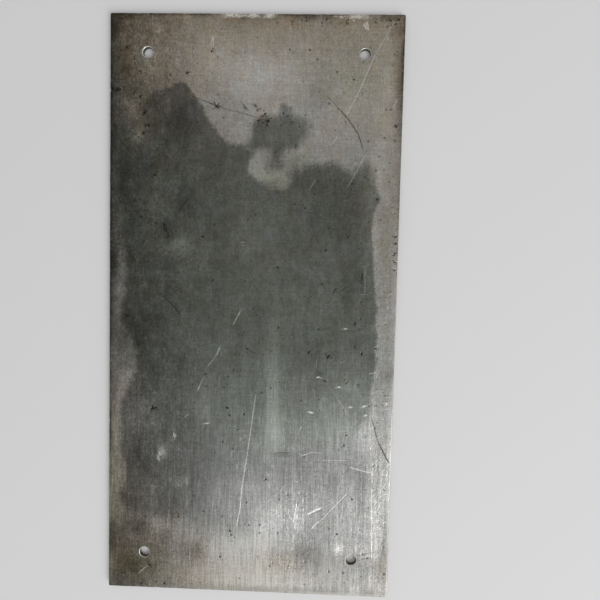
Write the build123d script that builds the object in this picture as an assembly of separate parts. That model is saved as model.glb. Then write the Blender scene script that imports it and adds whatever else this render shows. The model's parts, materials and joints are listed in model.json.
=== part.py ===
from build123d import *
import os

# A bare steel plate, sheared to size and drilled at its four corners.
# It lies flat: X is its width, Y its length, and Z = 0 is its underside.
# The origin is the middle of the underside. All sizes are in millimetres.

# Overall size
plate_width = 149.0
plate_length = 300.0
plate_thickness = 2.5

# Drilled holes
hole_diameter = 5.5
side_inset = 19.5
end_inset = 19.5
hole_deburr = 0.25

# Sheared edges, from the top face down
rollover_radius = 0.5
fracture_height = 0.8
fracture_lean = 0.12
underside_break = 0.1

# Corners, dressed with a file
corner_radius = 0.8


def outline_at(height, inset):
    """Return the plate's outline at a height, drawn in by an inset on every side."""
    return Pos(0, 0, height) * RectangleRounded(
        plate_width - 2 * inset,
        plate_length - 2 * inset,
        corner_radius - inset,
    )


def sheared_blank():
    """Return the plate before drilling.

    Shearing leaves three bands on an edge: the top corner rolls over, the wall
    below it is square, and the last part breaks away and leans inwards. The
    sharp lower edge has been broken with a file.
    """
    blank = loft(
        [
            outline_at(0, fracture_lean + underside_break),
            outline_at(underside_break, fracture_lean),
            outline_at(fracture_height, 0),
            outline_at(plate_thickness, 0),
        ],
        ruled=True,
    )
    top_edges = blank.faces().sort_by(Axis.Z)[-1].edges()
    return fillet(top_edges, rollover_radius)


def drilled_hole():
    """Return the tool that drills one hole and breaks both of its rims."""
    radius = hole_diameter / 2
    half_profile = Polyline(
        (0, 0),
        (radius + hole_deburr, 0),
        (radius, hole_deburr),
        (radius, plate_thickness - hole_deburr),
        (radius + hole_deburr, plate_thickness),
        (0, plate_thickness),
        close=True,
    )
    return revolve(Plane.XZ * make_face(half_profile), Axis.Z)


def build_plate():
    """Return the finished plate."""
    hole_places = GridLocations(
        plate_width - 2 * side_inset,
        plate_length - 2 * end_inset,
        2,
        2,
    )
    plate = sheared_blank()
    for place in hole_places:
        plate -= place * drilled_hole()
    return plate


os.makedirs("parts", exist_ok=True)
export_step(build_plate(), "parts/steel_plate.step")
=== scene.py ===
import json
import math
import random

import bpy
import numpy as np
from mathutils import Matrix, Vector, noise
from mathutils.geometry import delaunay_2d_cdt
from mathutils.kdtree import KDTree


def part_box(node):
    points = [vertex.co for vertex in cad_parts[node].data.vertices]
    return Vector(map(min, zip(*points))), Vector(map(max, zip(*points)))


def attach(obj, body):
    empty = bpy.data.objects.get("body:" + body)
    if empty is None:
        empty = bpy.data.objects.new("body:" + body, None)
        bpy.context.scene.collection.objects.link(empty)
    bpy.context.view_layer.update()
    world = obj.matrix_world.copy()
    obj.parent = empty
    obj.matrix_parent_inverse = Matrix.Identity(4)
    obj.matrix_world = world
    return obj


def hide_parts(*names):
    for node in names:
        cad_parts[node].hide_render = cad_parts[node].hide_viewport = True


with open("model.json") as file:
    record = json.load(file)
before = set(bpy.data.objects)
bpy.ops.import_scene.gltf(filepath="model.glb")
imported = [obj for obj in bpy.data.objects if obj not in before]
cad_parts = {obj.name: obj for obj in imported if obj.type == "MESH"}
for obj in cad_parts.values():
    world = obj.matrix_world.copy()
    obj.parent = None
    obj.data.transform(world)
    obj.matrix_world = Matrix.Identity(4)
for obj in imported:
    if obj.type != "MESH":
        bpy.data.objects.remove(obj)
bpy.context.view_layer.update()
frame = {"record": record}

# A bare steel plate, seen from above. The CAD plate gives every size and place, and one closed mesh
# stands for it, with its sheared edges, drilled holes, scratches, pits and nicks as real relief.
# Lengths are in millimetres and places are (x, y) from the plate's middle, up to the mesh itself.

MM = 0.001

# Sizes from the frame
plate_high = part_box("steel_plate")[1]
half_width = plate_high.x / MM
half_length = plate_high.y / MM
thickness = plate_high.z / MM
bores = [mount for mount in frame["record"]["mounts"] if mount["kind"] == "bore"]
hole_places = [(mount["pos_m"][0] / MM, mount["pos_m"][1] / MM) for mount in bores]
hole_radius = bores[0]["dims"]["r_mm"]

# Edges and rims, as on the CAD plate
rollover_radius = 0.5
fracture_height = 0.8
fracture_lean = 0.12
underside_break = 0.1
corner_radius = 0.8
rim_break = 0.25
rim_wear_and_highlight_width = 0.45

# How far the top edge may roll over, in general and where it is kept narrow
widest_roll = 1.1
narrow_roll = corner_radius - 0.1

# Relief
burr_height = 0.015
face_height = thickness - burr_height
drawn_depth = 0.02
torn_depth = 0.06
groove_burr_share = 0.3
groove_breaks = 0.45
mark_boldness = 1.5

# Mesh spacing
edge_step = 0.8
corner_steps = 6
roll_steps = 5
hole_steps = 64
groove_step = 0.6
top_spacing = 1.25
underside_spacing = 4.0

# The inner points of a face: their gap, their margins, and the jitter and room of those that fill it
point_gap = 0.12
edge_margin = 1.2
hole_margin = 0.25
grid_jitter = 0.3
grid_room = 0.4

# The bake sheet, on which both faces lie side by side below the strips of the edge and the bores
sheet_gap = 2.0
strip_gap = 4.0
sheet_size = 2 * half_length + 5 * strip_gap + 2 * sheet_gap
strips_start = 2 * half_length + 2 * sheet_gap
edge_strips = (0, 1, 2, 1)
bore_strip = 3

# Material slots of the mesh
top_slot, edge_slot, bore_slot, underside_slot = range(4)

# Camera: its lens and sensor, its place, and its angles in degrees
camera_lens = 27
camera_sensor = 36
camera_place = (31.53, 17.54, 234.19)
camera_angles = (-2.6896, 1.677, 1.3268)

# Light and floor. The lamp's place and size and the floor's reach are in metres
lamp_place = (1.1, -1.2, 1.15)
lamp_size = 1.5
lamp_radiance = 3.6
world_strength = 0.47
floor_reach = 3.0
floor_drop = 0.02

# Colours
clean_steel = (0.778, 0.78, 0.765, 1)
tarnish_and_shade_black = (0.030, 0.031, 0.029, 1)
warm_tint = (1.0, 0.77, 0.53, 1)
green_tint = (0.93, 1.0, 0.93, 1)
no_tint = (1.0, 1.0, 1.0, 1)
# Dark brown for dirt, and for the painted shade along the rims
dirt_and_shade_brown = (0.02, 0.018, 0.015, 1)
bare_metal_and_highlight = (0.93, 0.92, 0.89, 1)
# Pale metal for wear, and for the painted highlight on the rims
wear_and_highlight_metal = (0.93, 0.88, 0.79, 1)
rust_brown = (0.12, 0.06, 0.03, 1)

# The tarnish: a crisp-edged stain that covers most of the face, and a patch above it
stain_outline = [
    (-73.5, 94.5), (-67, 95), (-61.5, 97), (-57.5, 101.5), (-56, 106.5), (-53, 109.5), (-47.5, 113),
    (-42, 115), (-38.5, 116.5), (-35.5, 114.5), (-33, 111), (-29.5, 107), (-27, 103.5), (-26, 99.5),
    (-22, 94.5), (-17.5, 89), (-13.5, 86), (-10, 85.5), (-6, 85), (-3, 83.5), (1, 81), (-2.5, 77),
    (-4, 74), (-3, 70.5), (0, 67.5), (2.5, 65.5), (6, 64.5), (11, 64), (16.5, 64), (18.5, 67.5),
    (17.5, 70.5), (20, 71.5), (24, 73), (27, 75), (32, 75.5), (39, 76), (45, 73), (50.5, 70.5),
    (54.5, 73.5), (57.5, 75.5), (60.5, 73), (61.5, 66.5), (64, 59.5), (61.5, 52), (60.5, 41.5),
    (62.5, 28), (63.5, 12.5), (65, -5.5), (65, -24.5), (63.5, -42), (61, -55), (57, -65), (56, -73),
    (60, -80), (63, -92), (64, -122), (30, -122), (0, -120), (-20, -117), (-40, -112), (-60, -108),
    (-67.5, -103.5), (-65, -92.5), (-65, -82.5), (-68, -74.5), (-68.5, -53.5), (-65.5, -46.5),
    (-61, -33.5), (-59.5, -23), (-62.5, -13.5), (-68, -6), (-67.5, 2.5), (-66, 14.5), (-67, 30),
    (-69.5, 43), (-71, 56), (-71.5, 73.5),
]
stain_patch = [
    (-6, 84), (-3.5, 86), (-2, 89.5), (-1.5, 93.5), (0, 97), (2.5, 98.5), (5.5, 99), (8.5, 98),
    (11.5, 99), (13.5, 102), (14, 104.5), (15.5, 105), (17.5, 104), (18.5, 99.5), (21, 97.5), (24.5, 97),
    (28, 94.5), (27, 90.5), (24.5, 86.5), (20, 84), (15, 82.5), (13, 79.5), (12, 73.5), (9.5, 71.5),
    (7, 73.5), (8.5, 77), (8, 81.5), (5, 83.5), (2.5, 82), (0, 80), (-3, 82.5),
]

# Soft spots: a place, how far it reaches across and along, and an amount.
# These make the face darker, or lighter where the amount is below 0. Most are tarnish; the thin ones along
# the left and back edges are painted shade
tarnish_and_shade_spots = [
    (-73, 147, 6, 8, 0.5), (0, 120, 22, 14, -0.35), (-56, 128, 10, 22, -0.2), (30, 110, 30, 25, -0.1),
    (-61, 92, 8, 8, -0.5), (-56, 86, 7, 6, -0.35), (-64, 114, 9, 8, 0.3), (-66, 130, 5, 8, 0.35),
    (-62, 140, 5, 5, 0.2), (-66, 133, 2, 3, 0.5), (-59, 142, 2, 4, 0.4), (-55, 138, 1.5, 3, 0.3),
    (-66, 122, 2.5, 3, 0.4), (-72, 24, 3, 11, 1.0), (-71, -15, 3, 5, -0.3), (-66, 99, 4, 9, 0.35),
    (-67, 67, 4, 9, 0.6), (-59, 111, 5, 8, 0.3), (-57, 93, 5, 6, -0.4), (-27, 30, 5, 6, -0.3),
    (-61, 31, 5, 6, 0.3), (-64, 148.5, 7, 2, 0.8), (-71, -120, 4, 7, 0.6), (-66, -143, 7, 7, 0.6),
    (-34, -129, 6, 6, 0.25), (71, 143, 4, 5, 0.35), (33, -127, 13, 6, 0.2), (60, -138, 12, 6, 0.25),
    (30, -60, 8, 14, 0.12), (-25, 130, 14, 14, -0.2), (14, 102, 4, 4, -0.35), (10, 92, 14, 8, -0.2),
    (16, 76, 9, 4, 0.3), (11, 66, 7, 3, 0.3), (10.5, 74, 2.5, 5, -0.3), (0, 94, 3, 5, 0.15),
    (60, 62, 4, 9, -0.15), (60, 71, 5, 7, -0.3), (66, 105, 6, 26, -0.25), (0, 50, 10, 30, -0.15),
    (-45, 41, 3, 7, 0.2), (-37, 53, 5, 6, 0.35), (-27, 75, 9, 8, -0.12), (-49, 76, 3.5, 7, 0.2),
    (-37, 96, 6, 9, 0.65), (-47, 60, 5, 14, -0.25), (-35, 58, 5, 12, 0.2), (-36.5, 33.5, 4.5, 5, -0.75),
    (-46, 33, 8, 4, -0.3), (-27, 37, 5, 4, -0.2), (-52, 35, 6, 12, -0.15), (-15, 40, 14, 30, 0.1),
    (40, 62, 16, 16, 0.3), (50, 10, 7, 22, 0.2), (28, 148.5, 9, 1.5, 0.6), (66, 148.5, 5, 1.5, 0.7),
    (-37, 148.5, 7, 1.5, -0.45), (-7, 147.5, 3, 1.5, 0.5), (47, 148.5, 6, 1.5, -0.4),
    (26, 93, 5, 5, -0.3), (-66, -100, 4, 8, 0.4), (73.5, -110, 3, 22, 0.5), (59, -85, 4, 14, 0.3),
    (-27, -98, 5, 18, 0.25), (46, -36, 9, 12, -0.2), (48, 44, 9, 9, 0.25), (60, 42, 4, 22, -0.25),
    (34, 49, 6, 8, 0.22), (-21, 70, 8, 12, 0.18), (-7, -24, 4, 13, 0.22), (33, 110, 6, 9, 0.22),
    (48, 105, 8, 14, -0.14), (-59.5, 88, 2, 2.5, -0.5), (35, -15, 14, 12, 0.25), (-70, 10, 4, 14, -0.35),
    (-67, -15, 4, 5, 0.2), (-61, -15, 3, 4, -0.2), (-68, -38, 7, 12, -0.35), (-66, -15, 8, 6, 0.35),
    (-65, -29, 5, 7, 0.25), (-57, -8, 9, 8, 0.3), (-60, -60, 12, 16, -0.35), (-36, -62, 14, 32, 0.15),
    (-25, -50, 4, 10, -0.25), (-25, -95, 20, 25, -0.2), (12, -40, 4, 38, -0.5), (14, -62, 4, 14, -0.3),
    (2, -30, 5, 40, 0.12), (36, -30, 12, 12, 0.2), (-46, -75.5, 2.5, 4, -1.3), (-40.5, -73, 3, 4, -0.4),
    (-37.5, -92.5, 2, 3, -0.5), (-33.5, -90, 2, 3, -0.4), (-58, -79, 6, 11, 0.75),
    (-58, -115, 5, 5, 0.7), (-55, -97, 4, 6, -0.35), (-23, -50, 4, 9, -0.25), (-61, -10, 6, 9, 0.3),
    (-38, -29, 4, 6, 0.3), (-72.5, -85, 4, 35, -0.35), (-40, -105, 4, 16, 0.3), (-49, -114, 6, 5, -0.35),
    (-27, -128, 4, 7, 0.55), (-52, -137.5, 5, 5, 0.35), (69, -35, 5, 22, 0.15), (13, -112, 9, 14, -0.45),
    (0, -126, 20, 10, -0.3), (5, -143, 30, 10, -0.45), (45, -60, 24, 10, -0.3), (0, -92, 14, 8, -0.2),
    (-20, -70, 30, 40, -0.12), (26, -108, 3, 12, -0.35), (22, -130, 12, 9, 0.2),
    (48.5, -125, 3, 2.5, -0.5), (-45.5, 118, 1.8, 5, 0.35), (35, -126, 6, 12, 0.25),
    (74, 115, 3, 32, 0.8), (-62, -128, 14, 16, 0.35), (69, -70, 5, 100, 0.35), (-30, -80, 35, 26, 0.3),
    (-62, -135, 22, 22, 0.5), (48, -142, 26, 12, 0.2), (-73, 110, 4, 50, 0.5), (-70, -40, 5, 20, 0.2),
    (58, 15, 9, 40, 0.2), (28, -85, 30, 12, 0.15), (10, 80, 8, 6, 0.1), (17, -75, 5, 1.5, 0.35),
    (60, -100, 3, 40, 0.15), (69, -98, 5, 22, -0.2), (68, -15, 5, 18, -0.1), (73.5, -130, 3.5, 14, 0.5),
    (55, -130, 11, 7, 0.35), (0, 149, 80, 2.5, 0.35), (0, -149, 80, 2, 0.55), (-25, -149, 22, 2, -0.3),
    (64, -149, 8, 2, 0.3), (-74, -138, 3, 9, -0.45), (-74, 30, 2.5, 8, 0.6), (32, -128, 34, 20, 0.09),
    (69, -88, 6, 10, 0.15), (-10, 144, 8, 4, 0.2), (-73.5, -75, 2.5, 8, 0.45), (-73.5, -42, 2.5, 8, 0.3),
    (-73.5, 30, 2.5, 6, 0.25), (-73.5, -122, 2.5, 7, 0.3), (-73, 115, 2.5, 5, -0.3),
    (-73, 143, 2.5, 4, 0.3), (72.5, -30, 2.5, 6, 0.4), (37, 145, 6, 4, 0.15), (-16, -84, 20, 10, 0.1),
]

# These make it warmer
warm_spots = [
    (0, 155, 120, 22, 0.6), (-56, 118, 26, 26, 0.35), (-66, 126, 4, 10, 0.45), (-25, 78, 22, 14, 0.15),
    (50, 141, 6, 6, -0.25), (35, 146, 8, 5, -0.1), (-72, 148, 4, 4, -0.2), (-47, 80, 5, 5, -0.15),
    (4, 100, 5, 4, 0.25), (-49, 74, 3, 6, 0.4), (56, 122, 26, 26, 0.15), (-58, 93, 8, 8, 0.2),
    (73, 60, 6, 50, 0.15), (-72, -55, 9, 60, 0.24), (-72, -60, 6, 40, 0.14), (0, -147, 90, 24, 0.11),
    (-38, -75, 16, 45, 0.09), (-30, 62, 50, 16, -0.08), (-66, -115, 22, 38, 0.42),
    (-64, -137, 18, 12, 0.38), (-47, -122, 7, 9, 0.18), (-28, -138, 16, 14, 0.15),
    (-33, -119, 12, 9, 0.1), (74, 125, 6, 22, 0.35), (-66, 148, 6, 6, 0.25), (-58, -35, 6, 34, 0.13),
    (72, -138, 6, 18, 0.18), (-27, -128, 5, 7, 0.3), (-37, -110.5, 1.2, 1.2, 0.7),
    (18, -133, 14, 7, 0.25), (-45.5, 118, 2.5, 6, 0.3), (-30, 144, 10, 6, -0.18), (-12, 148, 6, 3, 0.3),
    (-30, -150, 45, 14, 0.15), (55, 60, 8, 14, 0.15), (16, 70, 10, 7, 0.1),
]

# These make it greener
olive_spots = [
    (13, -50, 4, 28, 0.6), (-70, -28, 5, 14, 0.6), (-66, -26, 5, 9, 0.6), (-73, -98, 4, 28, 1.2),
    (-73, 128, 3.5, 14, 0.9), (-58, 113, 6, 8, 0.5), (-42, 145, 26, 8, -0.6), (-62, -138, 22, 8, 0.8),
    (10, 67, 14, 5, 0.8), (24, 77, 9, 4, 0.8), (50, 118, 22, 14, 0.5), (4, 70, 5, 6, 0.7),
    (65, -90, 30, 60, -0.35), (-60, -50, 9, 26, -0.8), (70, 35, 2.5, 12, 0.5), (20, -100, 30, 25, -0.2),
]

# These blur the stain's edge
stain_blur_spots = [
    (-68, 0, 8, 110, 1.2), (-68, 70, 10, 40, 2.5), (-62, -25, 8, 22, 0.5), (57, -72, 10, 12, 4.0),
    (-64, 98, 12, 11, 4.0), (-50, 110, 10, 6, 1.0), (0, -118, 90, 22, 5.0), (8, 92, 24, 14, 2.2),
    (22, 96, 10, 9, 2.0), (36, 76, 16, 5, 2.4), (14, 66, 12, 6, 1.6), (11, 76, 8, 7, 3.0),
    (28, 91, 6, 8, 2.0), (63, -80, 6, 42, 2.0), (59, 72, 8, 9, 3.0), (1, 66, 9, 5, 1.2),
]

# These strew light specks over it
frost_spots = [
    (35, -105, 35, 35, 0.6), (14, -108, 9, 12, 0.8), (70.5, -98, 5, 30, 0.8), (26, -108, 4, 14, 0.8),
    (-20, -128, 30, 14, 0.5), (70, 30, 4, 50, 0.5), (-70, 130, 6, 18, 0.4), (20, 90, 25, 12, 0.3),
]

# These brighten the top edge: wear along the back, and a painted highlight along the front and right edges,
# which face the lamp
wear_and_highlight_spots = [
    (-13, 150, 5, 3, 1.3), (-1.5, 150, 2.5, 3, 1.3), (7, 150, 3, 3, 1.2), (51, 149, 4.5, 3, 1.0),
    (20, -150, 75, 3, 0.4), (74.5, -90, 3, 45, 0.3), (74.5, 20, 3, 20, 0.4),
]

# These darken the top edge: painted shade along the back and left edges, and dirt along the others
rim_dirt_and_shade_spots = [
    (0, 150, 90, 4, 0.8), (-75, 60, 3, 90, 0.8), (-75, -68, 3, 24, 0.65), (75, 130, 3, 25, 0.9),
    (75, 35, 3, 30, 0.7), (-60, -150, 40, 3, 0.6),
]

# How brightly each hole's rim is worn and lit by a painted highlight, in the order of the record's bores
hole_rim_wear_and_highlight = (1.2, 0.3, 0.9, 0.2)

# Nicks in the top edge: the side, the place along it, half the length, and the depth
edge_nicks = [
    ("back", -5, 0.8, 0.5), ("back", 1.5, 0.6, 0.4), ("back", 21, 1.5, 0.5), ("back", 30, 1.0, 0.5),
    ("back", 36, 1.2, 0.4), ("back", 43, 0.8, 0.5), ("back", 68, 1.5, 0.5), ("back", -60, 1.0, 0.4),
    ("right", 36, 1.2, 0.6), ("right", 39, 0.8, 0.4), ("right", 30, 0.7, 0.5), ("right", 27, 0.8, 0.5),
    ("right", 22, 0.6, 0.5), ("right", -90, 1.5, 0.4), ("right", -97, 0.7, 0.5),
    ("right", 112, 0.8, 0.4), ("left", 111.5, 0.8, 0.6), ("left", 20, 0.7, 0.3), ("left", -60, 0.8, 0.4),
    ("front", -48, 1.0, 0.4), ("front", 12, 0.6, 0.4), ("front", 66, 1.0, 0.5),
]
side_names = ("right", "back", "left", "front")

# Scratches that shine: the path, and how bright and broad it is
light_scratches = [
    ([(69, 146.5), (60, 130.5)], 0.45), ([(60.5, 131.5), (52, 111.5), (46.5, 100.5)], 0.65),
    ([(71.5, 108.5), (69.5, 104)], 0.6), ([(42.5, 90), (39, 85.5)], 0.5),
    ([(36.5, 79.5), (35, 76)], 0.5), ([(57, 81.5), (48, 64.5)], 0.35), ([(31.5, 68), (28.5, 62.5)], 0.3),
    ([(-23, 133.5), (-22, 138.5), (-21.5, 134)], 0.8), ([(-61.5, 147.5), (-61, 144.8)], 0.3),
    ([(-5.5, 0.5), (-9.5, -7.5)], 0.5), ([(-16, -19), (-18, -23.5)], 0.6),
    ([(-18, -23), (-20.5, -27), (-23, -30)], 0.4), ([(-24.5, -35), (-26, -39)], 0.45),
    ([(-26, -38.5), (-27.5, -42.5)], 0.65), ([(-6.5, 35.5), (-3.5, 35.5)], 0.5),
    ([(-6, 34), (-3.5, 34)], 0.4), ([(-34.5, -66.5), (-37, -64.5)], 0.3),
    ([(3, -43.5), (1.5, -57), (-0.5, -73.5)], 0.5),
    ([(-0.5, -73.5), (-3, -92), (-4, -104.5), (-6, -115.5)], 0.65), ([(40, -37), (46.5, -45)], 0.2),
    ([(46, -44.5), (52, -53.5)], 0.4), ([(27.5, -75.5), (33, -73.5), (39.5, -73.5)], 0.5),
    ([(38.5, -77.5), (52.5, -77)], 0.3), ([(53, -80.5), (56.5, -81.5), (61, -82.5), (65.5, -83)], 0.8),
    ([(27.5, -82.5), (28, -89)], 0.5), ([(26, -100), (24.5, -111), (25.5, -115)], 0.8),
    ([(31.5, -106.8), (35, -105), (39, -103)], 2.2), ([(37.5, -110), (33.5, -115)], 0.6),
    ([(30, -94), (44.5, -99), (51.5, -109)], 0.3), ([(52, -95), (39, -109.5), (34, -114.5)], 0.55),
    ([(-53.5, -138), (-58.5, -142.5)], 0.6),
    ([(65, -81.5), (65.2, -97.5), (65.6, -113.5), (66.2, -129)], 0.55),
    ([(-32.5, -55), (-34, -57)], 0.8), ([(-42, -97), (-42, -112.5)], 0.2),
    ([(55.8, 24.3), (59.3, 24.2)], 0.25), ([(58, 23.5), (58.3, 10.3)], 0.25),
    ([(56.3, 9.9), (58.8, 10.1)], 0.35),
]

# Dark lines, where dirt fills a scratch: the path, and how dark and broad it is
dark_scratches = [
    ([(-32.5, 109), (-19.5, 104.5), (-16.5, 103), (-7.5, 101), (6.5, 97)], 0.6),
    ([(36.5, 109.5), (42.5, 103.5), (47, 99)], 0.55),
    ([(43, 103), (47.5, 98), (52.5, 91), (55, 84)], 0.9), ([(-13, 132), (-8, 129.5)], 0.5),
    ([(-47, 7.5), (-39.5, 0.5), (-37, -3)], 0.8), ([(-2, -19.5), (3.5, -23)], 0.6),
    ([(63.5, -54), (67, -66)], 0.8), ([(67, -66), (71.5, -74.5), (74, -78.5)], 1.0),
    ([(-24, 106), (-19, 103.5)], 0.9), ([(-21.5, 106.5), (-18, 102)], 0.9),
    ([(-22, 102.5), (-16.5, 104.5)], 0.8), ([(-7.5, 106.5), (-3, 102)], 0.6),
    ([(-6, 104.5), (-4, 102)], 0.9), ([(-8, 103), (-4, 104.5)], 0.4), ([(-0.5, 105.5), (0.5, 104)], 0.9),
    ([(1, 103), (3, 101.5)], 0.4), ([(0.5, 97.5), (3, 97)], 1.0), ([(5, 98), (7.5, 96.5)], 1.0),
    ([(5.2, 98.4), (7.2, 97)], 0.9), ([(5.5, 95.5), (7, 94)], 0.6), ([(2, 99), (5, 99.5)], 0.6),
    ([(-39, 50), (-34, 57.5)], 0.7), ([(-37, 52.5), (-34, 57)], 0.5), ([(-34, 54.5), (-31, 52)], 0.5),
    ([(-46.5, 44.5), (-45.5, 42.5), (-44, 39.5), (-43.5, 36.5)], 0.9),
    ([(-45.8, 43.5), (-46.2, 40.5)], 0.8), ([(58, -127.5), (64.5, -126)], 0.5),
    ([(60.5, -129.5), (65.5, -128.5)], 0.6), ([(-10.5, 104), (-8, 100.5)], 0.4),
    ([(11, -74), (21, -73.5), (27.5, -75)], 0.3), ([(56.5, 22), (56.5, 16.5)], 0.9),
    ([(41.3, 10), (43, 12.7), (44.2, 12.8)], 1.0), ([(43.8, 11), (45.3, 10)], 0.9),
    ([(45.5, 12), (48, 13.3), (49.4, 14.4)], 0.7), ([(-46, 121.5), (-44, 115)], 0.3),
    ([(-15.5, -45), (-10, -47.5)], 0.3), ([(-71.5, 111.5), (-68.5, 112)], 1.0),
    ([(70.8, 40.5), (73.4, 39)], 0.8), ([(71.5, 36.5), (73.4, 35.8)], 1.0),
    ([(71.2, 30.3), (73.3, 30.6)], 1.0), ([(72, 27), (73.3, 26.8)], 0.9),
    ([(72.2, 23), (73.3, 23.4)], 0.9),
]

# Short fine scratches strewn over a rectangle: left, right, low, high, how many, and how bright
strewn_scratches = [
    (-10, 68, -128, -58, 230, 0.45), (0, 30, -122, -92, 70, 0.6), (-55, 70, -145, -20, 120, 0.3),
    (-70, 70, 0, 145, 90, 0.16), (64, 73, -145, 20, 90, 0.4), (65, 73, -125, -72, 160, 0.3),
    (14, 34, -122, -92, 90, 0.5), (60, 73, 20, 145, 30, 0.25), (-72, -20, -145, -110, 40, 0.3),
]

# Smudges of fine shining strokes: a place, how far they spread across and along, and how many
smudges = [
    (31.8, -52, 0.6, 0.35, 10), (52.5, -49, 0.4, 0.3, 6), (60, -48, 0.7, 0.25, 7),
    (70.5, -46.5, 0.8, 0.15, 4), (61, -53, 0.6, 0.2, 3), (48, -8, 0.4, 0.3, 1),
    (36.5, -33.5, 0.7, 0.4, 5), (46, -38.5, 0.7, 0.3, 4), (63.5, -31, 0.6, 0.2, 2),
    (-39.5, -66.5, 0.4, 0.7, 6), (-23, -59.5, 0.8, 0.2, 5), (-48, -77.5, 0.6, 1.3, 9),
    (49, -125, 1.6, 0.8, 9), (55, 144.5, 0.7, 0.9, 20), (50, 148.3, 3.0, 0.5, 22),
    (-10, 148.7, 3.5, 0.35, 26), (-1, 148.5, 1.8, 0.5, 14), (6, 148.3, 1.6, 0.4, 10),
    (26, -107, 2.0, 5.0, 14), (22, -112, 3.0, 4.0, 9), (66, 138, 0.6, 1.0, 3),
]

# Fine dark specks strewn over a rectangle: left, right, low, high, how many, and how dark
strewn_specks = [
    (15, 74, 143.5, 148.9, 100, 0.6), (-74, -55, 75, 149, 70, 0.5), (-60, -40, 130, 149, 40, 0.5),
    (-62, -40, 85, 125, 40, 0.6), (30, 60, 60, 77, 50, 0.6), (-20, 30, 94, 106, 30, 0.8),
    (-60, 62, -40, 75, 130, 0.5), (62, 74, 20, 95, 45, 0.5), (62, 74, -140, 20, 50, 0.5),
    (10, 32, -140, -125, 60, 0.4), (-60, -20, -149, -105, 60, 0.4), (30, 62, 80, 140, 50, 0.4),
]

# Chips that hold dirt, with their radii
dark_chips = [
    (-51.5, -52.5, 1.5), (-51.5, -51.5, 1.0), (40, -22.5, 1.5), (57.5, -20.5, 1.0), (64.5, -17.5, 0.9),
    (-37, -110.5, 0.9), (-14.5, -131.5, 1.0), (-2, -19.5, 0.8), (-10.5, -55, 0.9), (-19.5, 104, 1.4),
    (5, 100.5, 1.2), (-35, 120.5, 1.1), (-59, 108.5, 1.2), (-56.5, 100.5, 1.4), (-54.5, 94, 1.3),
    (-57, 90, 1.2), (-46.2, 43.5, 0.6), (-46, 41, 0.6), (-44.3, 37.5, 0.8), (71.5, 95, 1.0),
    (-73, 112, 1.2), (-70.8, 111.6, 1.1), (-69.2, 112, 0.9), (-57, -148, 1.0), (6.5, 97, 1.5),
    (1.7, 97.3, 1.0), (6, 94.8, 0.8), (3.5, 99.3, 0.8), (0.3, 104.5, 0.8), (-51, 69, 1.0),
    (-66, 133, 0.8), (-62, 127, 0.7), (-26.5, -127, 0.8), (-44.5, -147.5, 1.0), (-9, -119, 0.6),
    (-7, -120.5, 0.5), (-52.5, -137.5, 1.2), (-65.5, -4, 1.1), (73, 40, 0.9), (73.2, 36.5, 0.8),
    (72.9, 31.5, 0.9), (73.1, 27, 1.0), (73.2, 23, 1.0), (25, 146.5, 0.7), (35, 147.3, 0.8),
    (46, 147.8, 0.7), (60, 147.6, 0.5), (67, 147, 0.9), (71, 147.4, 1.0), (56.3, 19, 0.6),
    (56.3, 16, 0.6), (-59.5, 88, 0.8), (-22.5, 131.5, 0.9),
]

# Pits that hold dirt
dark_pits = [
    (-22, 132.5), (17, 132.5), (27, 132.5), (49.5, 118), (69.5, 130.5), (-18.5, 104), (-5, 103.5),
    (-0.5, 104.5), (37.5, 106), (42, 103.5), (1.5, 97), (6.5, 97), (10.5, 81.5), (57.5, 87.5),
    (71, 95.5), (68.5, 103.5), (62, 73), (63, 58.5), (21, 55.5), (26.5, 53.5), (-58, 48), (-61.5, 56),
    (-46, 44), (-50.5, 44.5), (-45.5, 41), (-26, 38), (-28, 22.5), (-20.5, 15.5), (37.5, 32.5),
    (17, 26.5), (13, 23), (39, 43.5), (48.5, 39.5), (3, -2), (14, -8), (53.5, -5), (64.5, -17.5),
    (30, -20.5), (40, -22.5), (15, -36.5), (38.5, -35), (50, -36), (26.5, -46), (-30, -39),
    (-23.5, -33.5), (-23, -40), (-51.5, -52), (-12, -51), (-3, -54), (-6, -62.5), (49.5, -69),
    (50.5, -63.5), (9, -88.5), (-1, -101.5), (71, -92), (-9.5, -117), (0.5, -113.5), (43, -114),
    (47, -116.5), (54.5, -97.5), (12, -135.5), (43.5, -137), (72.5, -137), (61, -127), (63.5, -129),
    (57.5, -20.5),
]


def edge_distance(points):
    """Return how far inside the plate's outline each point lies."""
    return np.minimum(half_width - np.abs(points[:, 0]), half_length - np.abs(points[:, 1]))


def rounded_outline():
    """Walk anticlockwise round the outline: places, outward directions, sides and walked lengths."""
    places = []
    outward = []
    sides = []
    for side in range(4):
        turn = side * math.pi / 2
        normal = np.array([math.cos(turn), math.sin(turn)])
        along = np.array([-math.sin(turn), math.cos(turn)])
        reach, run = (half_width, half_length) if side % 2 == 0 else (half_length, half_width)
        straight = run - corner_radius
        steps = round(2 * straight / edge_step)
        for step in range(steps):
            places.append(normal * reach + along * straight * (2 * step / steps - 1))
            outward.append(normal)
        centre = normal * (reach - corner_radius) + along * straight
        for step in range(corner_steps):
            angle = turn + math.pi / 2 * step / corner_steps
            direction = np.array([math.cos(angle), math.sin(angle)])
            places.append(centre + direction * corner_radius)
            outward.append(direction)
        sides += [side] * (steps + corner_steps)
    places = np.array(places)
    gaps = np.linalg.norm(np.roll(places, -1, axis=0) - places, axis=1)
    walked = np.concatenate([[0], np.cumsum(gaps)])
    return places, np.array(outward), np.array(sides), walked


def drift(walked, wavelength, seed):
    """Return smooth random values from -1 to 1 along a walked length."""
    return np.array([noise.noise(Vector((length / wavelength, seed, 0.5))) for length in walked])


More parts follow.
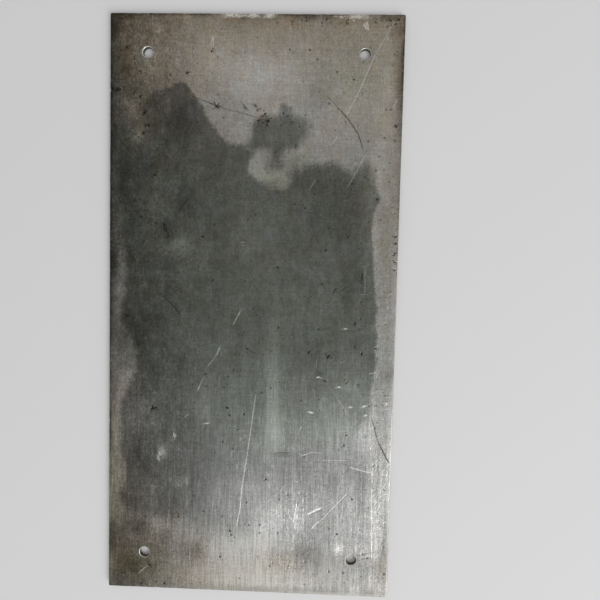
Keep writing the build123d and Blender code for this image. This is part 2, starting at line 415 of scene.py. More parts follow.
def nick_depths(places, sides):
    """Return how deep the nicks bite into the top edge at each place."""
    depths = np.zeros(len(places))
    for name, place, reach, depth in edge_nicks:
        side = side_names.index(name)
        along = places[:, 1] if side % 2 == 0 else places[:, 0]
        bite = depth * np.exp(-(((along - place) / reach) ** 2))
        depths = np.maximum(depths, bite * (sides == side))
    return depths


def edge_rows(places, outward, sides, walked):
    """Return the rows of points that run round the sheared edge, from the top face to the underside."""
    length = walked[:-1]
    rollover = rollover_radius * (1 + 0.25 * drift(length, 6, 1) + 0.2 * drift(length, 1.5, 2))
    rollover = rollover + nick_depths(places, sides)
    # The roll is kept narrow where the outline turns and along the back and the front
    turning = np.abs(outward).min(axis=1) > 0.01
    narrow = turning | np.isin(sides, (side_names.index("back"), side_names.index("front")))
    rollover = np.minimum(rollover, np.where(narrow, narrow_roll, widest_roll))
    fracture = fracture_height * (1 + 0.3 * drift(length, 9, 3) + 0.2 * drift(length, 2, 4))
    rows = []
    for quarter in np.linspace(0, math.pi / 2, roll_steps):
        inset = rollover * (1 - math.sin(quarter))
        rows.append((inset, face_height - rollover * (1 - math.cos(quarter))))
    drawn = drawn_depth * (1 + drift(length, 1.2, 5)) / 2
    rows.append((drawn, (face_height - rollover + fracture) / 2))
    rows.append((drawn, fracture))
    for share in (0.3, 0.65, 1):
        torn = torn_depth * (1 + drift(length, 0.9, 6 + share)) / 2
        height = fracture * (1 - share) + underside_break * share
        rows.append((fracture_lean * share + torn * (share < 1), height))
    rows.append((fracture_lean + underside_break + 0 * length, 0 * length))
    return [np.column_stack([places - outward * inset[:, None], height]) for inset, height in rows]


def hole_rows(place):
    """Return the rings of points down one drilled hole, anticlockwise, from the top face down."""
    angles = np.arange(hole_steps) * 2 * math.pi / hole_steps
    ring = np.column_stack([np.cos(angles), np.sin(angles)])
    profile = [
        (rim_break, face_height),
        (rim_break * 0.35, face_height - rim_break * 0.55),
        (0, face_height - rim_break * 1.2),
        (0, thickness / 2),
        (0, rim_break),
        (rim_break, 0),
    ]
    rows = []
    for widening, height in profile:
        flat = np.array(place) + ring * (hole_radius + widening)
        rows.append(np.column_stack([flat, np.full(hole_steps, height)]))
    return rows


def groove_points(mark):
    """Return points along a groove's bottom, its shoulders and just outside them."""
    points = []
    for start, end in zip(mark["path"], mark["path"][1:]):
        run = np.linalg.norm(end - start)
        across = np.array([start[1] - end[1], end[0] - start[0]]) / run
        for share in np.linspace(0, 1, max(2, round(run / groove_step) + 1)):
            for offset in (0, -1, 1, -2, 2):
                points.append(start + (end - start) * share + across * offset * mark["radius"])
    return points


def pit_points(mark):
    """Return a pit's middle and rings of points inside, on and outside its rim."""
    x, y = mark["path"][0]
    points = [(x, y)]
    for share, count in ((0.5, 6), (1, 8), (1.5, 8)):
        reach = mark["radius"] * share
        for step in range(count):
            angle = 2 * math.pi * (step + share) / count
            points.append((x + reach * math.cos(angle), y + reach * math.sin(angle)))
    return points


def thinned(points, gap, taken):
    """Return the points that lie at least a gap from each other and from the taken ones, in order."""
    cells = {}
    kept = []
    for fixed in taken:
        cells.setdefault((int(fixed[0] // gap), int(fixed[1] // gap)), []).append(fixed)
    for point in points:
        column, row = int(point[0] // gap), int(point[1] // gap)
        near = [
            other
            for i in (-1, 0, 1)
            for j in (-1, 0, 1)
            for other in cells.get((column + i, row + j), ())
        ]
        if all(math.dist(point[:2], other[:2]) >= gap for other in near):
            kept.append(point)
            cells.setdefault((column, row), []).append(point)
    return kept


def hole_collars():
    """Return a ring of points just outside each hole, where what its rim shows ends."""
    reach = hole_radius + rim_break + rim_wear_and_highlight_width
    turns = [2 * math.pi * step / hole_steps for step in range(hole_steps)]
    return [
        (x + reach * math.cos(turn), y + reach * math.sin(turn))
        for x, y in hole_places
        for turn in turns
    ]


def inside_face(points):
    """Return the points that lie clear of the outline and of the holes."""
    points = np.array(points)
    clear = edge_distance(points) > edge_margin
    for place in hole_places:
        clear &= np.linalg.norm(points - place, axis=1) > hole_radius + rim_break + hole_margin
    return points[clear]


def inside_outline(points, outline):
    """Tell which points lie inside an outline."""
    inside = np.zeros(len(points), bool)
    for (x1, y1), (x2, y2) in zip(outline, [*outline[1:], outline[0]]):
        if y1 == y2:
            continue
        spans = (y1 > points[:, 1]) != (y2 > points[:, 1])
        crossing = x1 + (points[:, 1] - y1) * (x2 - x1) / (y2 - y1)
        inside ^= spans & (points[:, 0] < crossing)
    return inside


def jittered_grid(spacing, seed):
    """Return an uneven grid of points over the whole plate."""
    rng = random.Random(seed)
    columns = int(2 * half_width / spacing)
    rows = int(2 * half_length / spacing)
    points = []
    for column in range(columns):
        for row in range(rows):
            x = (column + 0.5 + rng.uniform(-grid_jitter, grid_jitter)) * 2 * half_width / columns
            y = (row + 0.5 + rng.uniform(-grid_jitter, grid_jitter)) * 2 * half_length / rows
            points.append((x - half_width, y - half_length))
    return points


def loop_edges(loops):
    """Return the edges that close each loop, as pairs of point numbers."""
    edges = []
    first = 0
    for loop in loops:
        count = len(loop)
        edges += [(first + i, first + (i + 1) % count) for i in range(count)]
        first += count
    return edges


def filled_face(loops, marks, spacing, seed):
    """Return the inner points of a face and its triangles, which index the loops' points first."""
    rims = np.vstack(loops)
    marked = hole_collars()
    for mark in marks:
        marked += groove_points(mark) if len(mark["path"]) > 1 else pit_points(mark)
    inner = thinned(inside_face(marked), point_gap, rims)
    tree = KDTree(len(rims) + len(inner))
    for number, point in enumerate([*rims, *inner]):
        tree.insert((point[0], point[1], 0), number)
    tree.balance()
    background = [
        point
        for point in inside_face(jittered_grid(spacing, seed))
        if tree.find((point[0], point[1], 0))[2] > grid_room * spacing
    ]
    inner = np.array([*inner, *background])
    flat = np.vstack([rims, inner])
    found = delaunay_2d_cdt([Vector(point) for point in flat], loop_edges(loops), [], 1, 1e-7, True)
    if len(found[0]) != len(flat):
        raise ValueError("the face's points were merged or cut")
    order = [sources[0] for sources in found[3]]
    triangles = np.array([[order[i] for i in face] for face in found[2]])
    middles = flat[triangles].mean(axis=1)
    solid = inside_outline(middles, loops[0])
    for hole in loops[1:]:
        solid &= ~inside_outline(middles, hole)
    return inner, triangles[solid]


def path_distance(points, path):
    """Return each point's distance from a path, how far along it lies, and the path's length."""
    best = np.full(len(points), np.inf)
    along = np.zeros(len(points))
    walked = 0
    for start, end in zip(path, path[1:]):
        start, end = np.array(start, float), np.array(end, float)
        run = np.linalg.norm(end - start)
        share = np.clip((points - start) @ (end - start) / run**2, 0, 1)
        distance = np.linalg.norm(points - start - share[:, None] * (end - start), axis=1)
        nearer = distance < best
        best = np.where(nearer, distance, best)
        along = np.where(nearer, walked + share * run, along)
        walked += run
    return best, along, walked


def mark_strength(points, mark):
    """Return how deep in a mark each point is, from 0 to 1, and the burr beside a groove."""
    radius = mark["radius"]
    if len(mark["path"]) == 1:
        x, y = mark["path"][0]
        angle = np.arctan2(points[:, 1] - y, points[:, 0] - x)
        uneven = 1 + 0.22 * np.sin(2 * angle + 5 * x) + 0.14 * np.sin(3 * angle + 7 * y)
        distance = np.linalg.norm(points - (x, y), axis=1) / (radius * uneven)
        return np.clip(1 - distance**2, 0, 1), np.zeros(len(points))
    distance, along, length = path_distance(points, mark["path"])
    fade = np.clip(np.minimum(along, length - along) / mark["fade"] + 0.25, 0, 1)
    broken = 1 - groove_breaks * (0.5 + 0.5 * np.sin(along * 2.1 + length * 7))
    depth = np.clip(1 - distance / radius, 0, 1) * fade * broken
    burr = np.clip(1 - np.abs(distance / radius - 1.2) / 0.5, 0, 1) * fade
    return depth, burr * (depth <= 0)


def marks_near(points, marks):
    """Yield each mark with the numbers of the points that it may reach."""
    order = np.argsort(points[:, 1])
    heights = points[order, 1]
    for mark in marks:
        reach = 2 * mark["radius"]
        low = np.min(mark["path"], axis=0) - reach
        high = np.max(mark["path"], axis=0) + reach
        first, last = np.searchsorted(heights, (low[1], high[1]))
        strip = order[first:last]
        near = strip[(points[strip, 0] > low[0]) & (points[strip, 0] < high[0])]
        if len(near):
            yield mark, near


def face_relief(points, marks):
    """Return how far each point lies below the face: grooves and pits down, burrs up."""
    relief = np.zeros(len(points))
    for mark, near in marks_near(points, marks):
        depth, burr = mark_strength(points[near], mark)
        relief[near] += mark["depth"] * (depth - groove_burr_share * burr)
    return np.maximum(relief, -burr_height)


def groove(path, bright, radius, depth, fade=2.0):
    """A scratch along a path: it shines where bright is above 0, and holds dirt where it is below."""
    path = np.array(path, float)
    return {"path": path, "bright": bright, "radius": radius, "depth": depth, "fade": fade}


def pit(place, bright, radius, depth):
    """A round pit: a mark whose path is a single place."""
    return groove([place], bright, radius, depth)


def short_groove(place, heading, length, bright, radius):
    """A straight scratch from a place, in a heading given in degrees."""
    turn = math.radians(heading)
    end = (place[0] + length * math.cos(turn), place[1] + length * math.sin(turn))
    return groove([place, end], min(bright, 1), radius, 0.02 + 0.02 * bright, fade=1.0)


def beside(rng, place, across, along=None):
    """Return a random place around another, spread as far along as across unless told otherwise."""
    x = place[0] + rng.gauss(0, across)
    return x, place[1] + rng.gauss(0, across if along is None else along)


def within(rng, left, right, low, high):
    """Return a random place in a rectangle."""
    return rng.uniform(left, right), rng.uniform(low, high)


def drawn_scratches(rng):
    """The scratches with a path of their own; a shining one has a fainter one beside it."""
    marks = []
    for path, bright in light_scratches:
        marks.append(groove(path, bright, 0.17 + 0.17 * bright, 0.03 + 0.03 * bright))
        marks.append(groove([beside(rng, place, 0.4) for place in path], 0.35 * bright, 0.15, 0.02))
    for path, dark in dark_scratches:
        marks.append(groove(path, -dark, 0.22 + 0.25 * dark, 0.02 + 0.02 * dark))
    return marks


def strewn_hairlines(rng):
    """Short fine scratches: along the grain, aslant, across it or in any heading."""
    marks = []
    for *area, count, brightness in strewn_scratches:
        for _ in range(count):
            place = within(rng, *area)
            heading = rng.choice((90, 90, 60, 0, rng.uniform(0, 180))) + rng.gauss(0, 8)
            length = min(rng.expovariate(1.0) + 0.5, 7)
            marks.append(short_groove(place, heading, length, brightness * rng.uniform(0.3, 1.2), 0.2))
    return marks


def smudge_strokes(rng):
    """The fine strokes that make up each smudge, centred on random places in it."""
    marks = []
    for x, y, across, along, strokes in smudges:
        heading = 6 if across >= along else 90
        for _ in range(strokes):
            length = rng.uniform(0.8, 2.2)
            turn = heading + rng.gauss(0, 12)
            middle = beside(rng, (x, y), across, along)
            start_x = middle[0] - length / 2 * math.cos(math.radians(turn))
            start_y = middle[1] - length / 2 * math.sin(math.radians(turn))
            marks.append(short_groove((start_x, start_y), turn, length, rng.uniform(0.5, 1), 0.36))
    return marks


def placed_pits(rng):
    """The chips and pits, each with smaller ones beside it."""
    marks = []
    for x, y, radius in dark_chips:
        marks.append(pit((x, y), -0.9, 0.7 * radius, 0.1 * radius))
        for _ in range(4):
            marks.append(pit(beside(rng, (x, y), 0.7 * radius), -0.7, 0.4 * radius, 0.06 * radius))
    for place in dark_pits:
        radius = rng.uniform(0.45, 0.8)
        marks.append(pit(place, -rng.uniform(0.6, 1), radius, 0.18 * radius))
        smaller = beside(rng, place, radius)
        marks.append(pit(smaller, -rng.uniform(0.4, 0.8), 0.6 * radius, 0.1 * radius))
    return marks


def strewn_pits(rng):
    """Fine dark specks: some strewn over their own rectangles, and a few over the whole face."""
    marks = []
    for *area, count, darkness in strewn_specks:
        for _ in range(count):
            place = within(rng, *area)
            radius = min(0.2 + rng.expovariate(6), 0.8)
            marks.append(pit(place, -darkness * rng.uniform(0.4, 1.2), radius, 0.15 * radius))
    for _ in range(200):
        place = within(rng, -half_width, half_width, -half_length, half_length)
        radius = rng.uniform(0.18, 0.42)
        marks.append(pit(place, -rng.uniform(0.3, 0.7), radius, 0.15 * radius))
    return marks


def top_marks():
    """Return the grooves and pits of the top face, drawn in a fixed order."""
    rng = random.Random(11)
    marks = []
    for maker in (drawn_scratches, strewn_hairlines, smudge_strokes, placed_pits, strewn_pits):
        marks += maker(rng)
    return marks


def outline_distance(points, outline):
    """Return each point's distance from an outline, positive inside it."""
    distance, _, _ = path_distance(points, [*outline, outline[0]])
    return np.where(inside_outline(points, outline), distance, -distance)


def spot_total(points, spots):
    """Return the sum of soft spots at each point."""
    total = np.zeros(len(points))
    for x, y, across, along, amount in spots:
        reach = ((points[:, 0] - x) / across) ** 2 + ((points[:, 1] - y) / along) ** 2
        total += amount * np.exp(-reach)
    return total


def smooth_step(values, start, end):
    """Return a smooth step from 0 to 1 as the values go from start to end."""
    share = np.clip((values - start) / (end - start), 0, 1)
    return share * share * (3 - 2 * share)


def edge_fade(points, start, run):
    """Return 1 near the outline, falling to 0 over a run that starts at a distance from it."""
    return np.clip(1 - (edge_distance(points) - start) / run, 0, 1)


def tarnish_and_shade(points):
    """Return how much tarnish and painted light darken each point: painted shade along the left edge, and
    painted light that lifts the front.
    """
    from_left = points[:, 0] + half_width
    towards_front = smooth_step(points[:, 1], 20, -80)
    # Painted shade: darker towards the left edge and darkest in a thin band along it; painted light towards
    # the front
    left_shade = (0.8 - 0.3 * towards_front) * np.exp(-((from_left / 35) ** 2))
    margin = (1.4 - 1.1 * towards_front) * np.exp(-from_left / 2.5)
    return left_shade + margin - 0.2 * towards_front + spot_total(points, tarnish_and_shade_spots)


def unrest(points):
    """Return how much stronger the mottling is at each point: most on the left."""
    left = 0.9 * smooth_step(points[:, 0], -15, -60)
    margin = 0.6 * smooth_step(points[:, 0], -61, -67) * smooth_step(points[:, 1], 20, 0)
    return 1 + left - margin


def greenness(points):
    """Return how green the tarnish looks: most in the middle, least at both ends."""
    return smooth_step(points[:, 1], 115, 70) * smooth_step(points[:, 1], -95, -40)


def rim_wear_and_highlight(points):
    """Return how bright the holes' top rims are: wear, and a painted highlight most on the back left of
    each, the side that faces the lamp.
    """
    wear = np.zeros(len(points))
    for place, amount in zip(hole_places, hole_rim_wear_and_highlight):
        offset = points[:, :2] - place
        distance = np.linalg.norm(offset, axis=1)
        facing = np.clip((offset @ (-0.8, 0.6)) / np.maximum(distance, 0.1) + 0.35, 0, 1.35) / 1.35
        at_rim = (distance < hole_radius + rim_break + 0.1) & (points[:, 2] > face_height - 0.4)
        wear += amount * facing * at_rim
    return wear


def stain_depth_and_light(points):
    """Return how dark the stain is: it fades towards the front, partly as the stain itself and partly as
    painted light that is strongest on the right, towards the lamp.
    """
    fading = smooth_step(points[:, 1], -15, -110) * (0.35 + 0.65 * smooth_step(points[:, 0], -55, 5))
    return 1.07 - 0.85 * fading


def face_marks(points, marks):
    """Return how brightly and how darkly each point is marked, from 0 to 1."""
    bright = np.zeros(len(points))
    dark = np.zeros(len(points))
    for mark, near in marks_near(points, marks):
        depth, _ = mark_strength(points[near], mark)
        shown = bright if mark["bright"] > 0 else dark
        strength = np.minimum(mark_boldness * depth, 1) * min(abs(mark["bright"]), 1)
        shown[near] = np.maximum(shown[near], strength)
    return bright, dark


def edge_faces(rows, numbers, sides, walked):
    """Return the sheared edge's faces: their corners, slots and places on the bake sheet."""
    count = len(sides)
    starts = [walked[list(sides).index(side)] for side in range(4)]
    depth = np.zeros(count)
    made = []
    for row in range(len(rows) - 1):
        drop = np.linalg.norm(rows[row + 1] - rows[row], axis=1)
        upper, lower = numbers[row], numbers[row + 1]
        slot = top_slot if row < roll_steps - 1 else edge_slot
        for i in range(count):
            j = (i + 1) % count
            side = sides[i]
            left = walked[i] - starts[side] + sheet_gap
            right = walked[i + 1] - starts[side] + sheet_gap
            # The front lies beside the back, on the same strip
            if side_names[side] == "front":
                left += 2 * half_width + sheet_gap
                right += 2 * half_width + sheet_gap
            base = strips_start + strip_gap * edge_strips[side]
            sheet = [
                (left, base + depth[i]),
                (left, base + depth[i] + drop[i]),
                (right, base + depth[j] + drop[j]),
                (right, base + depth[j]),
            ]
            made.append(((upper[i], lower[i], lower[j], upper[j]), slot, sheet))
        depth = depth + drop
    return made


def bore_faces(hole, numbers, first):
    """Return one bore's faces; its strip on the bake sheet begins at a given place."""
    step = 2 * math.pi * hole_radius / hole_steps
    down = 0
    made = []
    for ring in range(len(hole) - 1):
        drop = math.dist(hole[ring][0], hole[ring + 1][0])
        upper, lower = numbers[ring], numbers[ring + 1]
        base = strips_start + strip_gap * bore_strip + down
        for i in range(hole_steps):
            j = (i + 1) % hole_steps
            left, right = first + i * step, first + (i + 1) * step
            sheet = [(right, base), (right, base + drop), (left, base + drop), (left, base)]
            made.append(((upper[j], lower[j], lower[i], upper[i]), bore_slot, sheet))
        down += drop
    return made


def flat_faces(points, triangles, slot):
    """Return the faces of the top or of the underside, which is turned over and lies beside it."""
    under = slot == underside_slot
    made = []
    for corners in triangles:
        corners = corners[::-1] if under else corners
        sheet = []
        for x, y, _ in points[corners]:
            across = 3 * half_width - x + 2 * sheet_gap if under else x + half_width + sheet_gap
            sheet.append((across, y + half_length + sheet_gap))
        made.append((corners, slot, sheet))
    return made


def point_values(points, marks):
    """Return the values that the materials read, each for every point."""
    flat = points[:, :2]
    bright, dark = face_marks(flat, marks)
    # The marks are those of the top face alone
    above = points[:, 2] >= face_height - 1
    in_stain = [outline_distance(flat, outline) for outline in (stain_outline, stain_patch)]
    return {
        "stain_edge": np.maximum(*in_stain),
        "stain_blur": 0.9 + spot_total(flat, stain_blur_spots),
        "stain_depth_and_light": stain_depth_and_light(flat),
        "tarnish_and_shade": tarnish_and_shade(flat),
        "warmth": spot_total(flat, warm_spots),
        "unrest": unrest(flat),
        "greenness": greenness(flat),
        "olive": spot_total(flat, olive_spots),
        "age": smooth_step(flat[:, 1], -80, 60),
        "rim_dirt_and_shade": spot_total(flat, rim_dirt_and_shade_spots) * edge_fade(flat, 0.6, 0.6),
        "wear_and_highlight": spot_total(flat, wear_and_highlight_spots) * edge_fade(flat, 1, 1.5) + rim_wear_and_highlight(points),
        "frost": spot_total(flat, frost_spots),
        "bright_mark": bright * above,
        "dark_mark": dark * above,
    }


def relief_normals(inner, marks):
    """Return the top face's normals at its inner points, from the relief itself."""
    probe = 0.05
    slopes = []
    for move in ((probe, 0), (0, probe)):
        ahead = face_relief(inner + move, marks)
        behind = face_relief(inner - move, marks)
        slopes.append((ahead - behind) / (2 * probe))
    steep = np.column_stack([*slopes, np.ones(len(inner))])
    return steep / np.linalg.norm(steep, axis=1)[:, None]


def plate_mesh():
    """Build the closed mesh of the plate, with its bake map, material slots and marks."""
    places, outward, sides, walked = rounded_outline()
    rows = edge_rows(places, outward, sides, walked)
    holes = [hole_rows(place) for place in hole_places]
    marks = top_marks()
    top_loops = [rows[0][:, :2]] + [hole[0][:, :2] for hole in holes]
    low_loops = [rows[-1][:, :2]] + [hole[-1][:, :2] for hole in holes]
    top_inner, top_triangles = filled_face(top_loops, marks, top_spacing, 1)
    low_inner, low_triangles = filled_face(low_loops, [], underside_spacing, 2)

    # Points in one list: the edge's rows, the holes' rings, then the inner points of both faces
    blocks = [*rows]
    for hole in holes:
        blocks += hole
    blocks.append(np.column_stack([top_inner, face_height - face_relief(top_inner, marks)]))
    blocks.append(np.column_stack([low_inner, np.zeros(len(low_inner))]))
    points = np.vstack(blocks)
    firsts = np.concatenate([[0], np.cumsum([len(block) for block in blocks])])
    numbers = [np.arange(first, last) for first, last in zip(firsts, firsts[1:])]
    row_numbers = numbers[: len(rows)]
    ring_numbers = [numbers[len(rows) + i * len(holes[0]) :][: len(holes[0])] for i in range(len(holes))]
    top_rims = [row_numbers[0], *(rings[0] for rings in ring_numbers)]
    low_rims = [row_numbers[-1], *(rings[-1] for rings in ring_numbers)]
    top_numbers = np.concatenate([*top_rims, numbers[-2]])
    low_numbers = np.concatenate([*low_rims, numbers[-1]])

    faces = edge_faces(rows, row_numbers, sides, walked)
    bore_width = 2 * math.pi * hole_radius * 1.2
    for i, (hole, rings) in enumerate(zip(holes, ring_numbers)):
        faces += bore_faces(hole, rings, sheet_gap + i * (bore_width + sheet_gap))
    faces += flat_faces(points, top_numbers[top_triangles], top_slot)
    faces += flat_faces(points, low_numbers[low_triangles], underside_slot)

    mesh = bpy.data.meshes.new("dressed_plate")
    mesh.from_pydata(points * MM, [], [list(map(int, corners)) for corners, _, _ in faces])
    mesh.polygons.foreach_set("material_index", [slot for _, slot, _ in faces])
    mesh.polygons.foreach_set("use_smooth", [True] * len(faces))
    sheet = np.array([place for _, _, places_on_sheet in faces for place in places_on_sheet])
    mesh.uv_layers.new(name="OFBake").data.foreach_set("uv", (sheet / sheet_size).ravel())
    for name, values in point_values(points, marks).items():
        attribute = mesh.attributes.new(name, "FLOAT", "POINT")
        attribute.data.foreach_set("value", values.astype(np.float32))

    # Normals: level on the top face's rims, of the relief within, and as Blender finds them elsewhere
    normals = np.zeros(len(points) * 3, np.float32)
    mesh.vertices.foreach_get("normal", normals)
    normals = normals.reshape(-1, 3)
    normals[numbers[-2]] = relief_normals(top_inner, marks)
    normals[np.concatenate(top_rims)] = (0, 0, 1)
    mesh.normals_split_custom_set_from_vertices([tuple(normal) for normal in normals.tolist()])
    return mesh


class Finish:
    """A node material, with short ways to add the nodes that it needs."""

    def __init__(self, name):
        self.material = bpy.data.materials.new(name)
        self.material.use_nodes = True
        self.tree = self.material.node_tree
        self.shader = self.tree.nodes["Principled BSDF"]
        coordinates = self.node("ShaderNodeTexCoord")
        self.place = self.vector("SCALE", coordinates.outputs["Object"], scale=1 / MM)
        split = self.node("ShaderNodeSeparateXYZ", {0: self.place})
        self.along, self.upright = split.outputs["Y"], split.outputs["Z"]

    def node(self, kind, values=None):
        """Add a node and give its inputs their values or links."""
        node = self.tree.nodes.new(kind)
        for socket, value in (values or {}).items():
            self.feed(node.inputs[socket], value)
        return node

    def feed(self, socket, value):
        """Link a socket to another, or set its value."""
        if isinstance(value, bpy.types.NodeSocket):
            self.tree.links.new(value, socket)
        else:
            socket.default_value = value

    def vector(self, operation, first, second=(0, 0, 0), scale=1.0):
        """Return the result of a vector operation."""
        node = self.node("ShaderNodeVectorMath", {0: first, 1: second, 3: scale})
        node.operation = operation
        return node.outputs["Vector"]

    def math(self, operation, first, second=0.0, clamp=False):
        """Return the result of an operation on values."""
        node = self.node("ShaderNodeMath", {0: first, 1: second})
        node.operation = operation
        node.use_clamp = clamp
        return node.outputs["Value"]

    def times(self, first, second, clamp=False):
        """Return the product of two values."""
        return self.math("MULTIPLY", first, second, clamp)

    def mark(self, name):
        """Return one of the mesh's own values."""
        node = self.node("ShaderNodeAttribute")
        node.attribute_name = name
        return node.outputs["Fac"]

    def noise(self, across, along, detail=2.0, roughness=0.5, upright=1.0, shift=0.0):
        """Return noise around 0, with so many swings per millimetre in x, y and z."""
        stretched = self.vector("MULTIPLY", self.place, (across, along, upright))
        moved = self.vector("ADD", stretched, (shift, shift, shift))
        values = {"Vector": moved, "Scale": 1.0, "Detail": detail, "Roughness": roughness}
        node = self.node("ShaderNodeTexNoise", values)
        return self.math("SUBTRACT", node.outputs["Fac"], 0.5)

    def specks(self, spacing, radius, share, shift=0.0):
        """Return small round specks, all of them up to a radius, of which a share is dark."""
        scaled = self.vector("SCALE", self.place, scale=1 / spacing)
        moved = self.vector("ADD", scaled, (shift, shift, shift))
        uneven = self.times(self.noise(2.5, 2.0, shift=shift), 0.7 * radius / spacing)
        moved = self.vector("ADD", moved, uneven)
        cells = self.node("ShaderNodeTexVoronoi", {"Vector": moved, "Scale": 1.0})
        spot = self.rise(cells.outputs["Distance"], radius / spacing, 0.5 * radius / spacing)
        drawn = self.node("ShaderNodeSeparateColor", {0: cells.outputs["Color"]}).outputs[0]
        return self.times(spot, self.rise(drawn, 1 - share, 1.0))

    def rise(self, value, low, high, bottom=0.0, top=1.0):
        """Return a smooth step from bottom to top as the value goes from low to high."""
        values = {"Value": value, "From Min": low, "From Max": high, "To Min": bottom, "To Max": top}
        node = self.node("ShaderNodeMapRange", values)
        node.interpolation_type = "SMOOTHSTEP"
        return node.outputs["Result"]

    def mix(self, share, first, second, blend="MIX"):
        """Return a blend of two colours."""
        node = self.node("ShaderNodeMix")
        node.data_type = "RGBA"
        node.blend_type = blend
        for socket, value in ((0, share), (6, first), (7, second)):
            self.feed(node.inputs[socket], value)
        return node.outputs[2]

    def total(self, *terms):
        """Return the sum of terms, each a value or a pair of a value and its weight."""
        result = None
        for term in terms:
            if isinstance(term, tuple):
                term = self.times(*term)
            result = term if result is None else self.math("ADD", result, term)
        return result

    def darkened_steel(self, density, warmth):
        """Return clean steel darkened by a density of tarnish and painted shade, tinted where it is warm.
        """
        clean_share = self.math("EXPONENT", self.times(density, -1.0), clamp=True)
        colour = self.mix(clean_share, tarnish_and_shade_black, clean_steel)
        return self.mix(1.0, colour, self.mix(warmth, no_tint, warm_tint), "MULTIPLY")

    def surface(self, colour, metallic, roughness, height, depth):
        """Set the shader, raise its surface by a height times a depth in mm, and return the material."""
        for socket, value in (("Base Color", colour), ("Metallic", metallic), ("Roughness", roughness)):
            self.feed(self.shader.inputs[socket], value)
        bump = self.node("ShaderNodeBump", {"Strength": 1.0, "Distance": depth * MM, "Height": height})
        self.feed(self.shader.inputs["Normal"], bump.outputs["Normal"])
        return self.material


def top_finish():
    """Ground steel under uneven tarnish, with grain along the plate's length."""
    finish = Finish("ground_steel")
    mark, noise_at, times, total = finish.mark, finish.noise, finish.times, finish.total
    grain = noise_at(2.2, 0.10, detail=3, roughness=0.65)
    broad_grain = noise_at(0.5, 0.02, detail=3, roughness=0.55, shift=3)
    cross_grain = noise_at(0.10, 2.0, detail=2, roughness=0.6, shift=33)
    cloud = noise_at(0.05, 0.035, detail=4, roughness=0.6, shift=41)
    mottle = noise_at(0.22, 0.15, detail=6, roughness=0.75)
    speckle = noise_at(1.3, 1.0, detail=3, roughness=0.7, shift=7)
    blotches = finish.rise(noise_at(0.30, 0.24, detail=5, roughness=0.7, shift=17), 0.10, 0.30)
    specks = total(finish.specks(2.4, 0.42, 0.8, shift=1.3), (finish.specks(5.0, 0.9, 0.4, shift=7.7), 0.8))
    frosting = total(finish.specks(1.3, 0.4, 0.6, shift=3.1), (noise_at(1.7, 1.6, shift=71), 1.3))
    frost = times(frosting, mark("frost"))

    # The stain, with an edge that wanders and is crisp where its blur is small
    wander = noise_at(0.09, 0.09, detail=5, roughness=0.5, shift=11)
    blur = mark("stain_blur")
    edge = total(mark("stain_edge"), (wander, 6.0), (broad_grain, blur), (speckle, 1.6))
    stain = finish.rise(finish.math("DIVIDE", edge, blur), -1.0, 1.0)
    uneven = total(1.0, (mottle, 0.8), (cloud, 0.6))
    stain_density = times(times(stain, mark("stain_depth_and_light")), uneven)

    # How dense the tarnish is, with painted shade on the left and painted light at the front
    grain_strength = finish.rise(finish.along, 30, -110, 0.4, 1.3)
    grains = times(total((grain, 1.3), (broad_grain, 0.4)), grain_strength)
    patches = total((mottle, 0.8), (speckle, 1.2), (blotches, 0.25))
    density = total(
        0.63,
        times(mark("tarnish_and_shade"), total(1.0, (mottle, 1.2), (speckle, 0.6))),
        stain_density,
        grains,
        (cross_grain, 0.5),
        times(patches, mark("unrest")),
        specks,
        (frost, -0.8),
    )

    # Its tints, then dirt and painted shade on the rims, wear and a painted highlight, and marks over it
    tones = total((mottle, 0.5), (noise_at(0.12, 0.09, detail=4, roughness=0.6, shift=51), 0.8))
    tones = times(tones, total(0.35, (mark("age"), 0.65)))
    warmth = total(0.03, (mark("age"), 0.21), mark("warmth"), (stain, -0.04), tones)
    colour = finish.darkened_steel(density, finish.math("MAXIMUM", warmth, 0.0))
    green_shift = noise_at(0.10, 0.08, detail=4, roughness=0.6, shift=61)
    green = total(0.2, (times(stain, mark("greenness")), 0.85), mark("olive"), (green_shift, 1.2))
    tint = finish.mix(finish.math("MAXIMUM", green, 0.0), no_tint, green_tint)
    colour = finish.mix(1.0, colour, tint, "MULTIPLY")
    # Painted shade and dirt along the rims
    rim_dirt_and_shade = times(mark("rim_dirt_and_shade"), finish.rise(mottle, -0.18, 0.06), clamp=True)
    colour = finish.mix(rim_dirt_and_shade, colour, dirt_and_shade_brown)
    # Wear, and a painted highlight on the rims that face the lamp
    wear_and_highlight = times(mark("wear_and_highlight"), finish.rise(speckle, -0.15, 0.05), clamp=True)
    colour = finish.mix(wear_and_highlight, colour, wear_and_highlight_metal)
    colour = finish.mix(mark("dark_mark"), colour, dirt_and_shade_brown)
    colour = finish.mix(mark("bright_mark"), colour, bare_metal_and_highlight)
    roughness = total(0.42, (stain, 0.08), (mottle, 0.15), (speckle, 0.1), (specks, 0.2))
    height = total(noise_at(5.0, 0.15, detail=2, shift=5), (specks, -0.8))
    return finish.surface(colour, 1.0, roughness, height, 0.008)


